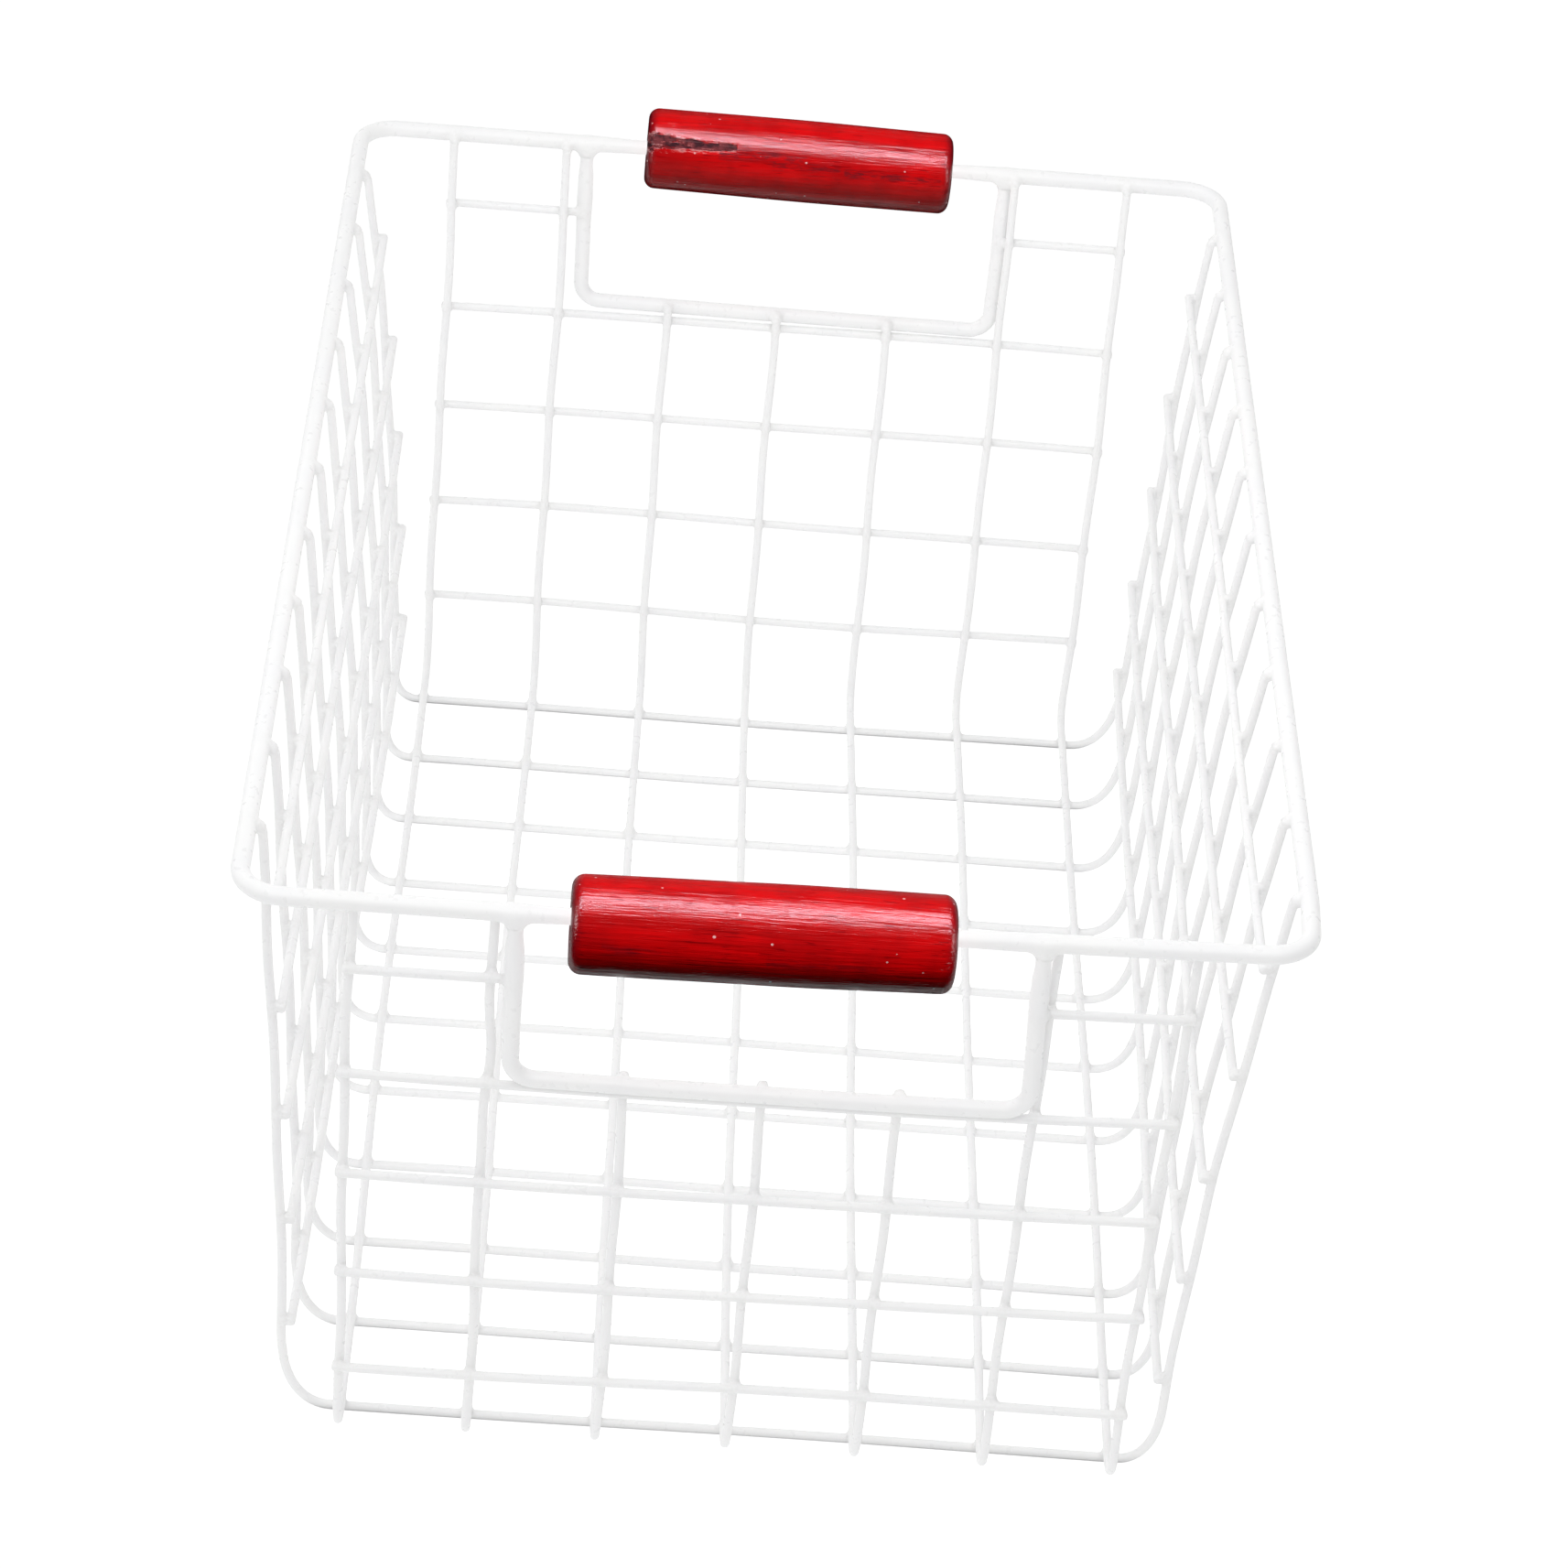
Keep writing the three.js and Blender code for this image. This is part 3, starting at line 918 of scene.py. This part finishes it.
# ---- grips ----
GRIP_SIDES = 160
GRIP_STEP = 0.75
GRIP_MOUTH = 0.9  # width of the chamfer where the rim wire goes in
GRIP_DISH = 0.5  # how far the end face is hollowed
DISH_POWER = 1.6
DISH_STEPS = 8
EDGE_STEPS = 11
BORE_POINTS = 12
BORE_INSET = 3  # the bore's first and last points are this far inside the ends
SKIN_RADIUS = 6  # marks and waves set in from this radius
SKIN_BLEND = 5  # and are full this much further out
WAVE_STRETCH = 9
WAVE_DEPTH = 0.05
WORN_DEPTH = 0.22
WORN_FROM = 0.3
END_GRAIN_REACH = 4
END_GRAIN_BLEND = 3.4
END_GRAIN_POWER = 1.4
MARK_LEAD = 3  # a mark starts this far before its first place
MARK_TAPER = 0.6  # and is this much narrower at its last
MARK_EDGE = 1.5  # a mark fades out between this less 1 and this, in half widths


def grip_radius(x):
    """The slightly barrelled outside, at a distance along the grip from its middle."""
    return GRIP_RADIUS - GRIP_TAPER * (x / (GRIP_LENGTH / 2)) ** 2


def end_profile():
    """(x, radius) of a grip's end at positive x, from the bore out to the long side."""
    half = GRIP_LENGTH / 2
    reach = half - GRIP_EDGE
    corner_radius = grip_radius(reach) - GRIP_EDGE
    face = half - GRIP_DISH
    outline = [(half - GRIP_MOUTH - GRIP_DISH, GRIP_BORE)]
    for share in (0.35, 0.7, 1):
        outline.append((face - GRIP_MOUTH * (1 - share), GRIP_BORE + GRIP_MOUTH * share))
    inner = GRIP_BORE + GRIP_MOUTH
    for share in np.linspace(0, 1, DISH_STEPS + 1)[1:]:
        x = half - GRIP_DISH * (1 - share**DISH_POWER)
        outline.append((x, inner + (corner_radius - inner) * share))
    for angle in np.linspace(0, math.pi / 2, EDGE_STEPS + 1)[1:]:
        x = half - GRIP_EDGE + GRIP_EDGE * math.cos(angle)
        outline.append((x, corner_radius + GRIP_EDGE * math.sin(angle)))
    return outline


def grip_profile():
    """(x, radius) of the turned outline: from the bore's left mouth along the outside to its
    right mouth, and back through the bore.
    """
    half = GRIP_LENGTH / 2
    reach = half - GRIP_EDGE
    end = end_profile()
    count = round(2 * reach / GRIP_STEP)
    outline = [(-x, radius) for x, radius in end]
    outline += [(x, grip_radius(x)) for x in np.linspace(-reach, reach, count)[1:-1]]
    outline += end[::-1]
    bore = np.linspace(half - BORE_INSET, BORE_INSET - half, BORE_POINTS)
    return outline + [(x, GRIP_BORE) for x in bore]


def lathe_faces(count, sides):
    """Faces of a turned shape whose outline comes back to its start."""
    faces = []
    for i in range(count):
        here, onward = i * sides, (i + 1) % count * sides
        for j in range(sides):
            k = (j + 1) % sides
            faces.append((here + j, onward + j, onward + k, here + k))
    return faces


def marked(along_x, angle, marks):
    """How strongly each surface point is marked, for marks at places along and round a grip."""
    strongest = np.zeros(len(along_x))
    for from_x, to_x, at_angle, half_angle, strength in marks:
        span = np.clip((along_x - from_x) / (to_x - from_x), 0, 1)
        inside = (along_x > from_x - MARK_LEAD) & (along_x < to_x)
        width = math.radians(half_angle) * (1 - MARK_TAPER * span)
        off = np.abs((angle - math.radians(at_angle) + math.pi) % (2 * math.pi) - math.pi)
        strongest = np.maximum(strongest, strength * inside * np.clip(MARK_EDGE - off / width, 0, 1))
    return np.clip(strongest, 0, 1)


def grip_surface(outline, wear, scuffs):
    """Points of a grip along x, and the measures that its finish reads."""
    angles = 2 * np.pi * np.arange(GRIP_SIDES) / GRIP_SIDES
    along_x, angle = (a.ravel() for a in np.meshgrid(outline[:, 0], angles, indexing="ij"))
    radius = np.repeat(outline[:, 1], GRIP_SIDES)
    outer = np.clip((radius - SKIN_RADIUS) / SKIN_BLEND, 0, 1)
    phase = chance.uniform(0, 6)
    waves = np.sin(along_x / WAVE_STRETCH + phase) * np.sin(2 * angle + phase)
    radius = radius - outer * WAVE_DEPTH * (1 + waves)
    worn = marked(along_x, angle, wear) * outer
    scuffed = marked(along_x, angle, scuffs) * outer
    radius = radius - WORN_DEPTH * np.clip(worn - WORN_FROM, 0, 1) * outer
    end_from = GRIP_LENGTH / 2 - END_GRAIN_REACH
    end_grain = np.clip((np.abs(along_x) - end_from) / END_GRAIN_BLEND, 0, 1) ** END_GRAIN_POWER
    points = np.column_stack([along_x, -radius * np.cos(angle), radius * np.sin(angle)])
    return points, {"worn": worn, "scuffed": scuffed, "end_grain": end_grain}


def grip(name, place, wear, scuffs):
    """A turned grip, set on the rim at its end."""
    outline = np.array(grip_profile())
    points, measures = grip_surface(outline, wear, scuffs)
    turn = Matrix.Rotation(math.radians(place["grip_turn"]), 3, "Z")
    tilt = Matrix.Rotation(math.radians(-place["grip_tilt"]), 3, "Y")
    points = points @ np.array(turn @ tilt).T
    y = place["end"] * (RIM_HALF_LENGTH - place["grip_in"])
    origin = (place["grip_x"], y, RIM_HEIGHT - place["grip_drop"])
    faces = lathe_faces(len(outline), GRIP_SIDES)
    piece = make_piece(f"{name}_grip_lacquered", points, faces, lacquer, measures, origin)
    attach(piece, f"{name}_handle")
    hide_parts(f"{name}_grip")
    return piece


# Marks: from and to along the grip, then the angle round it from the front and the half
# width, both in degrees, and the strength.
FRONT_WEAR = [(49.5, 52, 18, 20, 0.5)]
FRONT_SCUFFS = [(-40, -24, 8, 7, 0.5), (4, 30, 2, 6, 0.5)]
REAR_WEAR = [(-50.5, -21, 38, 17, 1.0)]
REAR_SCUFFS = [(-24, 2, 30, 9, 1.0), (-6, 14, 20, 7, 0.9), (18, 48, 16, 6, 1.0)]
lacquer = red_lacquer()
grips = [
    grip("front", ENDS["front"], FRONT_WEAR, FRONT_SCUFFS),
    grip("rear", ENDS["rear"], REAR_WEAR, REAR_SCUFFS),
]


# ---- floor, light and camera: places and sizes in metres ----
FLOOR_REACH = 6
FLOOR_BOUNCE = 0.05  # how much of its light the floor gives back to the basket
FLOOR_WHITE = 0.6  # how white the camera sees it, and how much it glows on top of that
FLOOR_LIFT = 1.02
ROOM = 0.03
LENS = 115.24  # in millimetres, as is the sensor's width
SENSOR = 36
EYE_PLACE = (-0.054835, -1.293376, 1.010312)  # fitted to the photo, as are the angles
EYE_TURN = -0.04839  # in radians
EYE_TILT = 0.96106
EYE_ROLL = 0.09966


def seen_or_bounced(tree, seen, bounced):
    """seen where the camera looks straight at it, bounced where it only lights the object."""
    path = tree.nodes.new("ShaderNodeLightPath")
    mix = tree.nodes.new("ShaderNodeMixShader")
    tree.links.new(path.outputs["Is Camera Ray"], mix.inputs["Fac"])
    tree.links.new(bounced, mix.inputs[1])
    tree.links.new(seen, mix.inputs[2])
    return mix.outputs[0]


def floor():
    """A white studio table. It is shown lighter than it lights the basket from below."""
    mesh = bpy.data.meshes.new("studio_floor")
    reach = FLOOR_REACH
    corners = [(-reach, -reach, 0), (reach, -reach, 0), (reach, reach, 0), (-reach, reach, 0)]
    mesh.from_pydata(corners, [], [(0, 1, 2, 3)])
    plane = bpy.data.objects.new("studio_floor", mesh)
    bpy.context.scene.collection.objects.link(plane)
    material = bpy.data.materials.new("studio_floor")
    material.use_nodes = True
    tree = material.node_tree
    tree.nodes.clear()
    matt = tree.nodes.new("ShaderNodeBsdfDiffuse")
    matt.inputs["Color"].default_value = (FLOOR_BOUNCE, FLOOR_BOUNCE, FLOOR_BOUNCE, 1)
    white = tree.nodes.new("ShaderNodeBsdfDiffuse")
    white.inputs["Color"].default_value = (FLOOR_WHITE, FLOOR_WHITE, FLOOR_WHITE, 1)
    lift = tree.nodes.new("ShaderNodeEmission")
    lift.inputs["Strength"].default_value = FLOOR_LIFT
    both = tree.nodes.new("ShaderNodeAddShader")
    tree.links.new(white.outputs[0], both.inputs[0])
    tree.links.new(lift.outputs[0], both.inputs[1])
    output = tree.nodes.new("ShaderNodeOutputMaterial")
    surface = seen_or_bounced(tree, both.outputs[0], matt.outputs[0])
    tree.links.new(surface, output.inputs["Surface"])
    mesh.materials.append(material)


def softbox(name, place, turn, size, brightness, pieces, matt=True, gloss=True, tint=(1, 1, 1)):
    """A rectangular light of that brightness per area.

    Only those pieces catch its light and throw its shadows. matt says whether it lights
    the colour of a surface, and gloss whether the shine on it reflects the light.
    """
    data = bpy.data.lights.new(name, "AREA")
    data.shape = "RECTANGLE"
    data.size, data.size_y = size
    data.energy = brightness * math.pi * size[0] * size[1]
    data.color = tint
    lamp = bpy.data.objects.new(name, data)
    lamp.location = place
    lamp.rotation_euler = [math.radians(degrees) for degrees in turn]
    lamp.visible_camera = False
    lamp.visible_diffuse = matt
    lamp.visible_glossy = gloss
    bpy.context.scene.collection.objects.link(lamp)
    reached = bpy.data.collections.new(name)
    for piece in pieces:
        reached.objects.link(piece)
    lamp.light_linking.receiver_collection = reached
    lamp.light_linking.blocker_collection = reached


def surroundings():
    """A white backdrop, and the dim room that the basket reflects."""
    world = bpy.data.worlds.new("studio")
    bpy.context.scene.world = world
    world.use_nodes = True
    tree = world.node_tree
    tree.nodes.clear()
    backdrop = tree.nodes.new("ShaderNodeBackground")
    backdrop.inputs["Color"].default_value = (1, 1, 1, 1)
    room = tree.nodes.new("ShaderNodeBackground")
    room.inputs["Color"].default_value = (0.95, 0.97, 1, 1)
    room.inputs["Strength"].default_value = ROOM
    output = tree.nodes.new("ShaderNodeOutputWorld")
    surface = seen_or_bounced(tree, backdrop.outputs[0], room.outputs[0])
    tree.links.new(surface, output.inputs["Surface"])


def camera():
    data = bpy.data.cameras.new("camera")
    data.sensor_width = SENSOR
    data.lens = LENS
    data.clip_start, data.clip_end = 0.05, 50
    eye = bpy.data.objects.new("camera", data)
    turn = Matrix.Rotation(EYE_TURN, 4, "Z")
    tilt = Matrix.Rotation(EYE_TILT, 4, "X")
    roll = Matrix.Rotation(EYE_ROLL, 4, "Z")
    place = Matrix.Translation(EYE_PLACE)
    eye.matrix_world = place @ turn @ tilt @ roll
    bpy.context.scene.collection.objects.link(eye)
    bpy.context.scene.camera = eye


floor()
# Soft panels all round give the white coating its even, almost shadowless light.
# Each has a name, a place, a turn in degrees, a size and a brightness.
PANELS = (
    ("sky", (0, 0, 2.0), (0, 0, 0), (4, 4), 0.93),
    ("table_glow", (0, 0, 0.0002), (180, 0, 0), (3, 3), 1.0),
    ("front_panel", (0, -2.2, 0.6), (90, 0, 0), (4, 2.4), 0.62),
    ("rear_panel", (0, 2.2, 0.6), (-90, 0, 0), (4, 2.4), 0.95),
    ("left_panel", (-2.2, 0, 0.6), (90, 0, -90), (4, 2.4), 1.05),
    ("right_panel", (2.2, 0, 0.6), (90, 0, 90), (4, 2.4), 0.5),
    ("wire_key", (0, -1.3, 1.5), (40, 0, 0), (2.0, 0.8), 1.15),
)
for panel in PANELS:
    softbox(*panel, coated)
softbox("inside_fill", (0, -0.15, 0.6), (40, 0, 0), (0.5, 0.3), 1.2, coated, gloss=False)
COOL_TINT = (0.8, 0.97, 1.12)
softbox("overhead", (0, -0.18, 1.25), (0, 0, 0), (2.0, 0.3), 14, grips, matt=False, tint=COOL_TINT)
softbox("grip_key", (0, -1.1, 3.6), (15, 0, 0), (3.0, 1.6), 10.4, grips, gloss=False)
softbox("grip_end_left", (-1.1, -0.4, 0.5), (75, 0, -75), (0.35, 0.5), 7.0, grips)
softbox("grip_end_right", (1.1, -0.4, 0.5), (75, 0, 75), (0.35, 0.5), 5.0, grips)
softbox("grip_back", (0, 2.2, 0.8), (-75, 0, 0), (2.0, 1.0), 4.0, grips, gloss=False)
surroundings()
camera()
bpy.context.scene.view_settings.view_transform = "Standard"
